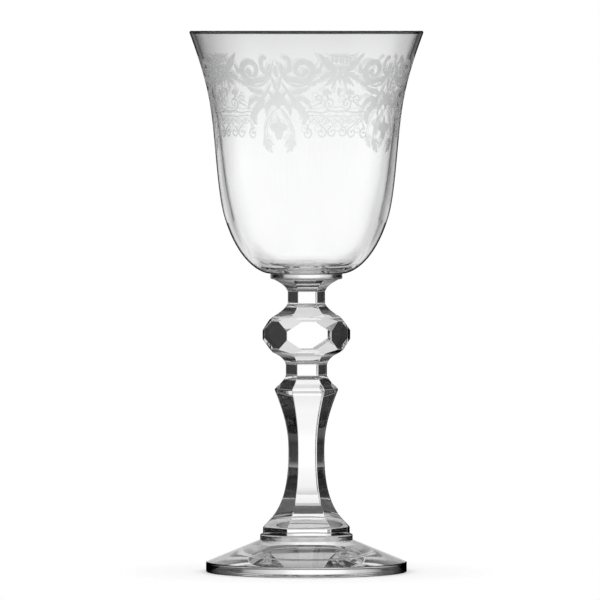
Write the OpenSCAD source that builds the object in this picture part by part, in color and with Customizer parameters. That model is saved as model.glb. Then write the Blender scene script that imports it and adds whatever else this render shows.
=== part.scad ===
// Cordial glass: a blown bell-shaped bowl on a pressed six-sided stem with a
// faceted knop, carried by a round foot. Two thin round collars make the joints.
// Every piece is hot-fused face to face to its neighbour, so none moves.
// Frame: origin at the middle of the resting face, +Z up to the rim, and a flat
// panel of the stem faces -Y.

/* [Foot] */
// Diameter of the foot
foot_d = 46.4; // [40:0.2:56]
// Thickness of the foot's upright edge
foot_edge_t = 2.4; // [1.8:0.1:3]
// Height of the foot from its resting face to its flat top
foot_h = 7.4; // [6:0.1:9]
// Rounding of the foot's edge
foot_edge_round = 0.35; // [0.1:0.05:0.6]
// Width of the flat ring that the glass rests on
rest_ring_w = 3.6; // [2:0.1:6]
// Depth of the hollow under the foot
hollow_depth = 0.3; // [0.2:0.05:1.5]

/* [Lower collar] */
// Diameter of the collar between stem and foot
foot_collar_d = 21.4; // [18:0.1:26]
// Thickness of the collar between stem and foot
foot_collar_t = 1.35; // [0.8:0.05:2]

/* [Baluster] */
// Height of the upright band at the stem's base
base_band_h = 1.55; // [0.8:0.05:2.5]
// Height from the base band to the slimmest place of the baluster
base_flare_h = 17.3; // [14:0.1:21]
// Size of the slimmest place, across corners
waist_d = 8.4; // [7:0.1:10.5]
// Height from the slimmest place to the sharp shoulder
baluster_h = 14.45; // [12:0.05:18]
// Size of the shoulder, across corners
shoulder_d = 14.8; // [12:0.1:18]
// Height of the slope between the shoulder and the lower neck
shoulder_slope_h = 3.35; // [2.8:0.05:4]

/* [Knop] */
// Size of the neck below the knop, across corners
lower_neck_d = 9.6; // [8:0.1:11.4]
// Height of the upright panels of the lower neck
lower_neck_h = 2.5; // [2:0.05:3]
// Height of the slope between the lower neck and the knop's flats
knop_under_h = 3.6; // [3:0.05:4.3]
// Size of the knop, across its upright corners
knop_d = 20.4; // [17:0.1:24]
// Height of the knop's six flats
knop_flat_h = 6.65; // [5.5:0.05:8]
// Height of the upright corner between two flats
knop_corner_h = 1.9; // [1.2:0.05:2.5]
// Inward run of the corner facets for each unit of height
knop_corner_slope = 0.76; // [0.6:0.01:0.9]
// Height of the slope between the knop's flats and the upper neck
knop_over_h = 3.95; // [3.2:0.05:4.8]
// Size of the neck above the knop, across corners
upper_neck_d = 8.7; // [7.2:0.1:10.5]
// Height of the upright panels of the upper neck
upper_neck_h = 2.7; // [2.2:0.05:3.3]
// Height of the flare between the upper neck and the bowl's collar
top_flare_h = 2.85; // [2.3:0.05:3.5]

/* [Upper collar] */
// Diameter of the collar between bowl and stem
bowl_collar_d = 16.6; // [14:0.1:20]
// Thickness of the collar between bowl and stem
bowl_collar_t = 1.3; // [0.8:0.05:2]

/* [Bowl] */
// Height of the bowl from its seat to the rim
bowl_h = 56; // [46:0.25:67]
// Outer diameter of the flared rim
rim_d = 54; // [48:0.2:65]
// Outer diameter of the belly, where the flare ends
belly_d = 41.4; // [36:0.2:47]
// Outer diameter of the heel, where the base curve begins
heel_d = 37.1; // [32:0.1:40]
// Wall at the rim
rim_wall = 0.75; // [0.6:0.05:1.2]
// Wall at the belly, measured level
belly_wall = 1.4; // [1:0.05:1.9]
// Wall at the heel, measured level
heel_wall = 2.3; // [1.7:0.05:2.8]
// Thickness of the bowl's base
base_wall = 2.2; // [1.6:0.1:3]

/* [Hidden] */
glass_tint = [0.9, 0.94, 0.95, 0.45];
$fn = 96;

// How far each seat stands proud of the piece that it carries
foot_seat_margin = 0.1;
stem_base_margin = 0.6;
stem_top_margin = 0.6;
bowl_seat_margin = 0.3;
panels = 6;
panel_angle = 360 / panels;
// The cutting prisms reach past every corner of the stem by this
overrun = 5;

// Heights of the seats and breaks, from the resting face up
foot_collar_z = foot_h;
stem_z = foot_collar_z + foot_collar_t;
base_band_z = stem_z + base_band_h;
waist_z = base_band_z + base_flare_h;
shoulder_z = waist_z + baluster_h;
lower_neck_z = shoulder_z + shoulder_slope_h;
knop_under_z = lower_neck_z + lower_neck_h;
knop_low_z = knop_under_z + knop_under_h;
knop_high_z = knop_low_z + knop_flat_h;
knop_mid_z = (knop_low_z + knop_high_z) / 2;
upper_neck_z = knop_high_z + knop_over_h;
top_flare_z = upper_neck_z + upper_neck_h;
stem_top_z = top_flare_z + top_flare_h;
bowl_z = stem_top_z + bowl_collar_t;
rim_z = bowl_z + bowl_h;

stem_base_d = foot_collar_d - 2 * stem_base_margin;
stem_top_d = bowl_collar_d - 2 * stem_top_margin;
bowl_seat_d = bowl_collar_d + 2 * bowl_seat_margin;

// Handles of the curves, as shares of the run from a curve's start to its end:
// [share of the change in radius, share of the change in height], twice
base_flare_shares = [[0, 0.78], [0.76, 0.88]];
baluster_shares = [[0, 0.24], [0.05, 0.48]];
shoulder_slope_shares = [[0.37, 0.65], [0.95, 0.75]];
knop_under_shares = [[0.06, 0.2], [0.07, 0.6]];
knop_over_shares = [[0, 0.1], [0.3, 0.74]];
top_flare_shares = [[0.16, 0.34], [0.16, 0.48]];
rim_flare_shares = [[0.815, 0.45], [0.797, 0.569]];
side_shares = [[0.357, 0.63], [0.643, 0.819]];
heel_out_shares = [[0.335, 0.846], [0.858, 1]];
heel_in_shares = [[0.226, 0.79], [0.6, 1]];
// Heights of the belly and the heel, as shares of the bowl's height
belly_h_share = 0.438;
heel_h_share = 0.211;
// Flat middle of the bowl's inner base, as a share of the seat's radius
inner_flat_share = 0.58;

long_steps = 14;
short_steps = 8;
edge_steps = 5;
lip_steps = 8;

// Cubic curve from one outline point to another, both ends included
function bend(from, to, handle_shares, steps) =
  let (
    run = to - from,
    near = from + [run.x * handle_shares[0].x, run.y * handle_shares[0].y],
    far = from + [run.x * handle_shares[1].x, run.y * handle_shares[1].y]
  )
    [
      for (i = [0:steps])
        let (t = i / steps, s = 1 - t)
          s * s * s * from + 3 * s * s * t * near + 3 * s * t * t * far + t * t * t * to
    ];

function reversed(list) = [for (i = [len(list) - 1:-1:0]) list[i]];

// The list without its first point, to follow a list that ends on that point
function after_first(list) = [for (i = [1:len(list) - 1]) list[i]];

function arc(centre, radius, from, to, steps) = [
  for (i = [0:steps])
    let (angle = from + (to - from) * i / steps)
      centre + radius * [cos(angle), sin(angle)]
];

// Corner radius and height of the stem, from its base to its top
function stem_outline() =
  let (
    base = [stem_base_d / 2, base_band_z],
    waist = [waist_d / 2, waist_z],
    shoulder = [shoulder_d / 2, shoulder_z],
    low_neck = [lower_neck_d / 2, lower_neck_z],
    low_neck_top = [lower_neck_d / 2, knop_under_z],
    knop_low = [knop_d / 2, knop_low_z],
    knop_high = [knop_d / 2, knop_high_z],
    high_neck = [upper_neck_d / 2, upper_neck_z],
    high_neck_top = [upper_neck_d / 2, top_flare_z],
    top = [stem_top_d / 2, stem_top_z]
  )
    concat(
      [[stem_base_d / 2, stem_z]],
      reversed(bend(waist, base, base_flare_shares, long_steps)),
      after_first(bend(waist, shoulder, baluster_shares, long_steps)),
      after_first(reversed(bend(low_neck, shoulder, shoulder_slope_shares, short_steps))),
      bend(low_neck_top, knop_low, knop_under_shares, short_steps),
      reversed(bend(high_neck, knop_high, knop_over_shares, short_steps)),
      bend(high_neck_top, top, top_flare_shares, short_steps)
    );

// Bar whose side view is the outline and its mirror image, lying along Y
module outline_bar(outline, length) {
  rotate([90, 0, 0])
    linear_extrude(height = length, center = true)
      polygon(concat(outline, [for (p = reversed(outline)) [-p.x, p.y]]));
}

// Wedge that files one corner of the knop to a slope, above its upright edge
module knop_corner_wedge() {
  corner_r = knop_d / 2;
  edge_z = knop_mid_z + knop_corner_h / 2;
  // The slope runs on until it is inside the neck
  run = corner_r - min(lower_neck_d, upper_neck_d) / 2;
  top_z = edge_z + run / knop_corner_slope;
  rotate([90, 0, 0])
    linear_extrude(height = knop_d, center = true)
      polygon([
        [corner_r, edge_z],
        [corner_r + overrun, edge_z],
        [corner_r + overrun, top_z],
        [corner_r - run, top_z]
      ]);
}

module foot() {
  foot_r = foot_d / 2;
  edge_r = foot_edge_round;
  top_r = foot_collar_d / 2 + foot_seat_margin;
  rest_in_r = foot_r - edge_r - rest_ring_w;
  // The hollow is a shallow cap of a ball that ends on the resting ring
  ball_r = (rest_in_r * rest_in_r + hollow_depth * hollow_depth) / (2 * hollow_depth);
  ball_angle = asin(rest_in_r / ball_r);
  slope_angle = atan2(foot_h - foot_edge_t, foot_r - top_r);
  color(glass_tint)
    rotate_extrude()
      polygon(
        concat(
          arc([0, hollow_depth - ball_r], ball_r, 90, 90 - ball_angle, long_steps),
          arc([foot_r - edge_r, edge_r], edge_r, -90, 0, edge_steps),
          arc([foot_r - edge_r, foot_edge_t - edge_r], edge_r, 0, 90 - slope_angle, edge_steps),
          [[top_r, foot_h], [0, foot_h]]
        )
      );
}

module foot_collar() {
  color(glass_tint)
    translate([0, 0, foot_collar_z])
      cylinder(h = foot_collar_t, d = foot_collar_d);
}

module stem() {
  widest = max(knop_d, stem_base_d, stem_top_d, shoulder_d);
  panel_outline = [for (p = stem_outline()) [p.x * cos(panel_angle / 2), p.y]];
  color(glass_tint)
    difference() {
      intersection_for(turn = [0:panels / 2 - 1])
        rotate([0, 0, 90 + turn * panel_angle])
          outline_bar(panel_outline, widest + overrun);
      for (corner = [0:panels - 1])
        rotate([0, 0, corner * panel_angle]) {
          knop_corner_wedge();
          translate([0, 0, 2 * knop_mid_z])
            mirror([0, 0, 1])
              knop_corner_wedge();
        }
    }
}

module bowl_collar() {
  color(glass_tint)
    translate([0, 0, stem_top_z])
      cylinder(h = bowl_collar_t, d = bowl_collar_d);
}

module bowl() {
  belly_z = bowl_z + bowl_h * belly_h_share;
  heel_z = bowl_z + bowl_h * heel_h_share;
  lip_r = rim_wall / 2;
  lip_z = rim_z - lip_r;
  rim_out = [rim_d / 2, lip_z];
  rim_in = [rim_d / 2 - rim_wall, lip_z];
  belly_out = [belly_d / 2, belly_z];
  belly_in = [belly_d / 2 - belly_wall, belly_z];
  heel_out = [heel_d / 2, heel_z];
  heel_in = [heel_d / 2 - heel_wall, heel_z];
  seat = [bowl_seat_d / 2, bowl_z];
  inner_flat = [bowl_seat_d / 2 * inner_flat_share, bowl_z + base_wall];
  color(glass_tint)
    rotate_extrude()
      polygon(
        concat(
          [[0, bowl_z]],
          reversed(bend(heel_out, seat, heel_out_shares, long_steps)),
          after_first(reversed(bend(belly_out, heel_out, side_shares, short_steps))),
          after_first(reversed(bend(rim_out, belly_out, rim_flare_shares, long_steps))),
          after_first(arc([rim_d / 2 - lip_r, lip_z], lip_r, 0, 180, lip_steps)),
          after_first(bend(rim_in, belly_in, rim_flare_shares, long_steps)),
          after_first(bend(belly_in, heel_in, side_shares, short_steps)),
          after_first(bend(heel_in, inner_flat, heel_in_shares, long_steps)),
          [[0, bowl_z + base_wall]]
        )
      );
}

foot();
foot_collar();
stem();
bowl_collar();
bowl();
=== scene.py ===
"""Looks of the cordial glass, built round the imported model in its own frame.

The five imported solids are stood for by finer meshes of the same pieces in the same
places: foot, foot collar, stem, bowl collar and bowl. Lengths are in millimetres and
are turned into metres where a mesh is made.
"""
import logging
import math
from dataclasses import dataclass, field, replace
from enum import IntEnum
from functools import cache, cached_property
from typing import Mapping, Sequence

import bpy
import numpy as np
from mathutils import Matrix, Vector
from mathutils.geometry import delaunay_2d_cdt


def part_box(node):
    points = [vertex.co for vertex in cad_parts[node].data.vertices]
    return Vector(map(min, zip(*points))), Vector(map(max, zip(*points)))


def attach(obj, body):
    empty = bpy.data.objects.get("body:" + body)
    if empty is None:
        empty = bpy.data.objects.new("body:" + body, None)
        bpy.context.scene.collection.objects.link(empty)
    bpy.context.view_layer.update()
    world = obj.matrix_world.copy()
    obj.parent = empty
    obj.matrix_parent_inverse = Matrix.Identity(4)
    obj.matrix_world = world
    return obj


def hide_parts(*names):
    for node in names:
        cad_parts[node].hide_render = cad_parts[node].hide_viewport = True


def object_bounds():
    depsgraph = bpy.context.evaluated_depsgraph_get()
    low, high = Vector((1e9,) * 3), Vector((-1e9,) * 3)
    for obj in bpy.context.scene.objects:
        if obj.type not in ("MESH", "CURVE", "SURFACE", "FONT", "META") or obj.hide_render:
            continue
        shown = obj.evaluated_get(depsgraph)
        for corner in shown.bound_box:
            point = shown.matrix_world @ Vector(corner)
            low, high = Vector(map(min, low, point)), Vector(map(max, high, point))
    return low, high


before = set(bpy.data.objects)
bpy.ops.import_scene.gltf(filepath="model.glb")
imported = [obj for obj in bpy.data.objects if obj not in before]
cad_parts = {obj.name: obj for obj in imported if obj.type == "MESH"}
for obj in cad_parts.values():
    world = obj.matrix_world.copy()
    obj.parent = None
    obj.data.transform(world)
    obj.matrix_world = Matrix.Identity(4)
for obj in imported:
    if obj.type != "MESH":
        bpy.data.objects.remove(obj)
CAD_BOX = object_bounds()

MM = 0.001
BODY = "root"
AROUND = 240
ON_AXIS = 1e-6
VIEW_TURN_DEG = -4.0
Colour = tuple[float, float, float, float]

log = logging.getLogger("cordial_glass")


class Surface(IntEnum):
    """Which kind of face a face is, in the order of a mesh's materials.

    CLEAR is plain glass, SEAT a fused joint, ETCHED the matt frieze, EDGE an upright edge
    or the lip, WELL the inside of the bowl's heel and HEEL the outside of it.
    """

    CLEAR = 0
    SEAT = 1
    ETCHED = 2
    EDGE = 3
    WELL = 4
    HEEL = 5


@dataclass(frozen=True)
class NodeBox:
    """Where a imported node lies, in millimetres."""

    radius: float
    bottom: float
    top: float

    @classmethod
    def of(cls, node: str) -> "NodeBox":
        """Read a node's box from the frame.

        Args:
            node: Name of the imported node.

        Returns:
            Its half width along X and its lowest and highest level.
        """
        low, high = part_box(node)
        return cls((high[0] - low[0]) / 2 / MM, low[2] / MM, high[2] / MM)


def cubic(steps: int, *knots: np.ndarray | float) -> np.ndarray:
    """Work out a cubic curve from its two ends and the two handles between them.

    Args:
        steps: Number of steps along the curve.
        knots: Start, both handles and end, as points or as plain numbers.

    Returns:
        The values, both ends included, one row each.
    """
    a, b, c, d = knots
    t = np.linspace(0, 1, steps + 1)[:, None]
    s = 1 - t
    return s**3 * a + 3 * s * s * t * b + 3 * s * t * t * c + t**3 * d


def bend(
    start: Sequence[float],
    end: Sequence[float],
    shares: Sequence[Sequence[float]],
    steps: int,
) -> np.ndarray:
    """Draw a cubic curve between two outline points.

    Args:
        start: First point, as radius and height.
        end: Last point.
        shares: Both handles, as shares of the run from start to end.
        steps: Number of steps along the curve.

    Returns:
        The points, both ends included, one row each.
    """
    first, last = np.array(start, float), np.array(end, float)
    handles = [first + (last - first) * share for share in shares]
    return cubic(steps, first, *handles, last)


def arc(centre: Sequence[float], radius: float, start: float, end: float, steps: int) -> np.ndarray:
    """Draw a circular arc in the outline's plane.

    Args:
        centre: Centre, as radius and height.
        radius: Radius of the arc.
        start: Angle at its start, in degrees from outward.
        end: Angle at its end.
        steps: Number of steps along the arc.

    Returns:
        The points, both ends included, one row each.
    """
    angle = np.radians(np.linspace(start, end, steps + 1))[:, None]
    return np.array(centre, float) + radius * np.hstack([np.cos(angle), np.sin(angle)])


def inner_wall(outer: np.ndarray, walls: Sequence[float]) -> np.ndarray:
    """Offset a stretch of the outside inward by a smoothly changing wall.

    Args:
        outer: Points of the outside, from the rim towards the seat.
        walls: Thickness at the start, at both thirds as a cubic's handles, and at
            the end.

    Returns:
        The matching points of the inside.
    """
    wall = cubic(len(outer) - 1, *walls)
    slope = np.gradient(outer, axis=0, edge_order=2)
    slope /= np.linalg.norm(slope, axis=1)[:, None]
    return outer + wall * np.column_stack([slope[:, 1], -slope[:, 0]])


@dataclass
class Span:
    """A smooth stretch of an outline whose faces share one finish."""

    points: np.ndarray
    surface: Surface = Surface.CLEAR
    end_radii: np.ndarray | None = None

    def normals(self) -> np.ndarray:
        """Work out outward normals from the slope of the stretch.

        Returns:
            The normal at each point, one row each.
        """
        if len(self.points) > 2:
            slope = np.gradient(self.points, axis=0, edge_order=2)
        else:
            slope = np.repeat(np.diff(self.points, axis=0), 2, axis=0)
        slope = slope / np.linalg.norm(slope, axis=1)[:, None]
        return np.column_stack([slope[:, 1], -slope[:, 0]])

    def lay(self, lathe: "Lathe", draft: "MeshDraft", last: Sequence[int]) -> Sequence[int]:
        """Add the stretch's faces, starting on a ring that is already there.

        Args:
            lathe: What turns the outline.
            draft: The mesh so far.
            last: Vertices of the ring at the start of the stretch.

        Returns:
            The vertices of the ring at its end.
        """
        normals = self.normals()
        for i in range(len(self.points) - 1):
            radius, height = self.points[i + 1]
            radii = np.full(lathe.around, radius)
            if self.end_radii is not None and i == len(self.points) - 2:
                radii = self.end_radii
            upper = lathe.ring(draft, radii, height)
            lathe.band(draft, last, upper, normals[i], normals[i + 1], self.surface)
            last = upper
        return last


@dataclass
class MeshDraft:
    """Vertices, faces, finishes and corner normals gathered for one mesh."""

    points: list[tuple[float, float, float]] = field(default_factory=list)
    faces: list[tuple[int, ...]] = field(default_factory=list)
    surfaces: list[Surface] = field(default_factory=list)
    corner_normals: list[tuple[float, float, float]] = field(default_factory=list)

    def add_face(
        self,
        corners: Sequence[int],
        normals: Sequence[Sequence[float]],
        surface: Surface,
    ) -> None:
        """Add one face.

        Args:
            corners: Its vertices, anticlockwise from outside.
            normals: The outward normal at each corner.
            surface: The finish it takes.
        """
        self.faces.append(tuple(int(c) for c in corners))
        self.corner_normals.extend(tuple(float(v) for v in n) for n in normals)
        self.surfaces.append(surface)

    def make(self, name: str, finishes: Mapping[Surface, "Finish"]) -> bpy.types.Object:
        """Turn the draft into an object in metres.

        Args:
            name: Name of the piece.
            finishes: The finish of each kind of face.

        Returns:
            The object, linked to the scene.
        """
        mesh = bpy.data.meshes.new(name)
        scaled = [tuple(v * MM for v in p) for p in self.points]
        mesh.from_pydata(scaled, [], self.faces)
        used = sorted(set(self.surfaces))
        for surface in used:
            mesh.materials.append(material_of(finishes[surface]))
        place = {surface: i for i, surface in enumerate(used)}
        mesh.polygons.foreach_set("material_index", [place[s] for s in self.surfaces])
        mesh.polygons.foreach_set("use_smooth", [True] * len(self.faces))
        mesh.normals_split_custom_set(self.corner_normals)
        mesh.update()
        piece = bpy.data.objects.new(name, mesh)
        bpy.context.scene.collection.objects.link(piece)
        return piece


class Lathe:
    """Turns an outline of spans round the Z axis into a closed mesh."""

    def __init__(self, spans: Sequence[Span], around: int = AROUND, first_turn: float = 0.0) -> None:
        """Keep the outline.

        Args:
            spans: Stretches from the axis at the bottom, up the outside and back
                to the axis; each starts where the one before ends.
            around: Number of steps round the axis.
            first_turn: Direction of the first step, in radians.
        """
        self.spans = spans
        self.around = around
        self.first_turn = first_turn

    def angle(self, j: float) -> float:
        """Direction of the j-th step round the axis, in radians."""
        return self.first_turn + 2 * math.pi * j / self.around

    def ring(self, draft: MeshDraft, radii: np.ndarray, height: float) -> list[int]:
        """Add one ring of vertices, or a single one on the axis.

        Args:
            draft: The mesh so far.
            radii: Distance from the axis at every step round it.
            height: Its level.

        Returns:
            The numbers of its vertices, repeated where it is a single one.
        """
        first = len(draft.points)
        if radii[0] < ON_AXIS:
            draft.points.append((0.0, 0.0, float(height)))
            return [first] * self.around
        for j in range(self.around):
            turn = self.angle(j)
            across, along = radii[j] * math.cos(turn), radii[j] * math.sin(turn)
            draft.points.append((float(across), float(along), float(height)))
        return list(range(first, first + self.around))

    def turn(self, normal: Sequence[float], j: float) -> tuple[float, float, float]:
        """Turn an outline normal to the j-th step round the axis."""
        angle = self.angle(j)
        return (normal[0] * math.cos(angle), normal[0] * math.sin(angle), normal[1])

    def draft(self) -> MeshDraft:
        """Build every ring and the faces between them.

        Returns:
            The closed mesh.
        """
        draft = MeshDraft()
        radius, height = self.spans[0].points[0]
        last = self.ring(draft, np.full(self.around, radius), height)
        for span in self.spans:
            last = span.lay(self, draft, last)
        return draft

    def band(
        self,
        draft: MeshDraft,
        low: Sequence[int],
        high: Sequence[int],
        low_normal: Sequence[float],
        high_normal: Sequence[float],
        surface: Surface,
    ) -> None:
        """Fill between two rings, with triangles where one is a point.

        Args:
            draft: The mesh so far.
            low: Vertices of the first ring.
            high: Vertices of the next ring along the outline.
            low_normal: Outline normal at the first ring.
            high_normal: Outline normal at the next.
            surface: The finish of the faces.
        """
        for j in range(self.around):
            k = (j + 1) % self.around
            corners = [(low[j], low_normal, j), (low[k], low_normal, j + 1)]
            corners += [(high[k], high_normal, j + 1), (high[j], high_normal, j)]
            if low[j] == low[k]:
                del corners[1]
            elif high[j] == high[k]:
                del corners[2]
            draft.add_face(
                [c for c, _, _ in corners], [self.turn(n, step) for _, n, step in corners], surface
            )


def windings(outline: np.ndarray, places: np.ndarray) -> np.ndarray:
    """Count how often a closed outline turns round each of some places.

    Args:
        outline: The outline's points in order.
        places: The places to test.

    Returns:
        One whole number per place; 0 is outside.
    """
    start, end = outline, np.roll(outline, -1, axis=0)
    u, v = places[:, :1], places[:, 1:]
    side = (end[:, 0] - start[:, 0]) * (v - start[:, 1]) - (u - start[:, 0]) * (end[:, 1] - start[:, 1])
    rises = (start[:, 1] <= v) & (end[:, 1] > v) & (side > 0)
    falls = (start[:, 1] > v) & (end[:, 1] <= v) & (side < 0)
    return rises.sum(axis=1) - falls.sum(axis=1)


def path_through(points: Sequence[Sequence[float]], step: float) -> np.ndarray:
    """Run a smooth curve through some points.

    Args:
        points: The points to pass through.
        step: Longest distance between the curve's points.

    Returns:
        The curve's points, one row each.
    """
    p = np.array(points, float)
    p = np.vstack([2 * p[0] - p[1], p, 2 * p[-1] - p[-2]])
    pieces = []
    for a, b, c, d in zip(p, p[1:], p[2:], p[3:]):
        count = max(2, math.ceil(np.linalg.norm(c - b) / step))
        t = np.linspace(0, 1, count, endpoint=False)[:, None]
        bow = 2 * a - 5 * b + 4 * c - d
        twist = 3 * (b - c) + d - a
        pieces.append(b + t * ((c - a) + t * (bow + t * twist)) / 2)
    return np.vstack([*pieces, p[-2:-1]])


def follow(line: np.ndarray) -> tuple[np.ndarray, np.ndarray, np.ndarray]:
    """Walk along a drawn line.

    Args:
        line: The line's points, one row each.

    Returns:
        At each point, the share of the length behind it, the way ahead and the way
        to the left.
    """
    run = np.concatenate([[0], np.cumsum(np.linalg.norm(np.diff(line, axis=0), axis=1))])
    way = np.gradient(line, axis=0)
    way /= np.linalg.norm(way, axis=1)[:, None]
    return run / run[-1], way, np.column_stack([-way[:, 1], way[:, 0]])


@dataclass
class Ornament:
    """Outlines of etched figures, in units of about a quarter of a millimetre."""

    step: float = 0.9
    least_half: float = 0.04
    spot_points: int = 14
    scroll_points: int = 8
    turn_points: int = 10
    wind_power: float = 0.8
    eye_reach: float = 0.9
    tail_width: float = 0.3
    wind_widths: tuple = (0.6, 0.8, 0.5)
    rib_step_share: float = 0.6
    leaf_belly: float = 0.75
    leaf_blunt: float = 0.8
    leaf_tip: float = 0.98
    least_leaf: float = 0.05
    lobe_sweep: float = 0.5
    outlines: list[np.ndarray] = field(default_factory=list)

    def add(self, outline: Sequence[Sequence[float]]) -> None:
        """Keep one closed outline, given by its points."""
        self.outlines.append(np.array(outline, float))

    def stroke(self, points: Sequence[Sequence[float]], widths: Sequence[float]) -> None:
        """Draw a smooth line that swells and tapers.

        Args:
            points: Points that the line passes through.
            widths: Width at evenly spaced places along it.
        """
        line = path_through(points, self.step)
        share, _, across = follow(line)
        half = np.interp(share, np.linspace(0, 1, len(widths)), widths)[:, None] / 2
        half = np.maximum(half, self.least_half)
        self.add(np.vstack([line + half * across, (line - half * across)[::-1]]))

    def disc(self, centre: Sequence[float], radius: float, squash: float = 1.0) -> None:
        """Draw a round or oval spot.

        Args:
            centre: Its centre.
            radius: Half its width.
            squash: Its height as a share of its width.
        """
        turn = np.linspace(0, 2 * math.pi, self.spot_points, endpoint=False)
        self.add(np.column_stack([
            centre[0] + radius * np.cos(turn), centre[1] + radius * squash * np.sin(turn)
        ]))

    def scroll(
        self,
        centre: Sequence[float],
        radius: float,
        start: float,
        turns: float,
        width: float,
        eye: float,
        tail: Sequence[Sequence[float]],
    ) -> None:
        """Draw a volute that winds inward from its tail to its eye.

        Args:
            centre: Centre of the volute.
            radius: Radius of its outer turn.
            start: Angle at which the winding starts, in degrees.
            turns: Number of turns, negative to wind the other way.
            width: Width of the line at the start of the winding.
            eye: Radius of the spot at its end.
            tail: Points before the winding.
        """
        count = self.scroll_points + round(abs(turns) * self.turn_points)
        share = np.linspace(0, 1, count)
        turn = math.radians(start) + 2 * math.pi * turns * share
        reach = radius * (1 - share) ** self.wind_power + eye * self.eye_reach * share
        wind = np.column_stack([centre[0] + reach * np.cos(turn), centre[1] + reach * np.sin(turn)])
        points = [*tail, *wind]
        lead = len(tail) / len(points)
        first, later, last = self.wind_widths
        widths = [self.tail_width, width * (first + lead), width, width * later, width * last]
        self.stroke(points, widths)
        self.disc(wind[-1], eye)

    def leaf(self, points: Sequence[Sequence[float]], width: float, lobes: int, depth: float) -> None:
        """Draw a pointed leaf along a bent rib, with lobes along its edges.

        Args:
            points: Points of the rib from the foot to the tip.
            width: Greatest half width.
            lobes: Number of lobes along each edge.
            depth: How deep the notches between lobes are, as a share of the width.
        """
        rib = path_through(points, self.step * self.rib_step_share)
        share, way, across = follow(rib)
        body = np.sin(math.pi * share**self.leaf_belly) ** self.leaf_blunt
        saw = (share * lobes) % 1.0
        notch = 1 - depth * (1 - saw) ** 2 * (share < self.leaf_tip)
        edge = (width * body * notch)[:, None] + self.least_leaf
        lift = way * (width * self.lobe_sweep * saw * body)[:, None]
        one = rib + across * edge + lift
        other = rib - across * edge + lift
        one[[0, -1]] = other[[0, -1]] = rib[[0, -1]]
        self.add(np.vstack([one, other[-2:0:-1]]))


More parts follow.
